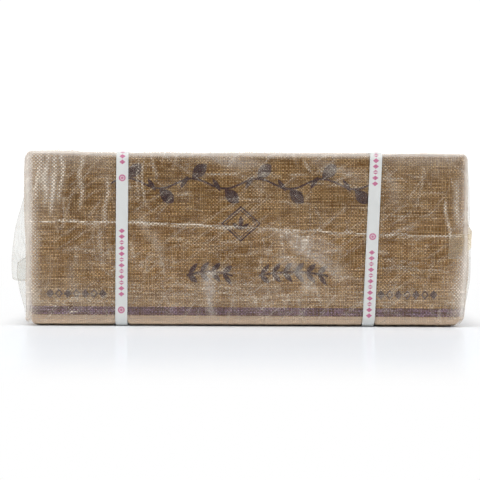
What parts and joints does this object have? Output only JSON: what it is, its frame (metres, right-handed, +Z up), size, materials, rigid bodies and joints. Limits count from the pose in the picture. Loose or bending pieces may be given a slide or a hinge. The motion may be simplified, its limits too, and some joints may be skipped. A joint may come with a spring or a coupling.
{
  "type": "film-wrapped bale of tuocha tea",
  "caption": "Brick-shaped bale of pressed tuocha tea in a brown woven cloth cover, sealed in loose clear film with folded ends and bound by flat white plastic straps.",
  "frame": {"origin": "middle of the flat underside that the bale rests on", "axes": "+X along the length, to the right as the printed front is seen; +Y from the printed front to the back; +Z up"},
  "size_m": [0.469, 0.2204, 0.1775],
  "materials": {
    "woven_cloth": "plain weave of flat golden brown and tan yarns, with dark purple brown print",
    "clear_film": "thin clear crinkled film",
    "clear_tape": "clear yellowish packing tape",
    "strap_plastic": "white embossed strapping with a faded pink print"
  },
  "bodies": {
    "root": {"wrapped_bale": "woven_cloth", "strap_left": "strap_plastic", "strap_right": "strap_plastic"}
  },
  "joints": []
}
